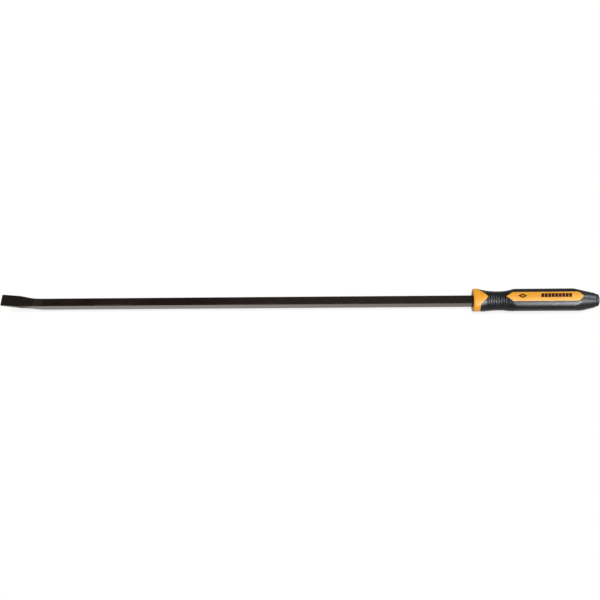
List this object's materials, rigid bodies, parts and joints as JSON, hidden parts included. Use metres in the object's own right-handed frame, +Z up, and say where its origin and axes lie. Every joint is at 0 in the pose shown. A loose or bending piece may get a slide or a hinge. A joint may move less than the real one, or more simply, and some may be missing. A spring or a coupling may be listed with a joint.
{
  "type": "long pry bar",
  "caption": "Long forged square pry bar with a curved chisel tip and a lobed two-colour moulded handle that ends in a steel strike cap.",
  "frame": {"origin": "on the ground under the middle of the tool: centre of the bounding box's lowest face, level with the lowest line of the handle's collar", "axes": "+X runs along the tool from the chisel tip to the strike cap, +Z is up through the handle's window, and the tip curves up towards +Z"},
  "size_m": [1.473, 0.056, 0.056],
  "materials": {
    "black_steel": "oiled black oxide over forge and mill scale",
    "orange_plastic": "moulded, semi-gloss",
    "black_rubber": "fine matt moulded texture",
    "cap_steel": "turned and blackened, worn at the rim"
  },
  "bodies": {
    "root": {"pry_bar": "black_steel", "handle_core": "orange_plastic", "grip_sleeve": "black_rubber", "strike_cap": "cap_steel"}
  },
  "joints": []
}
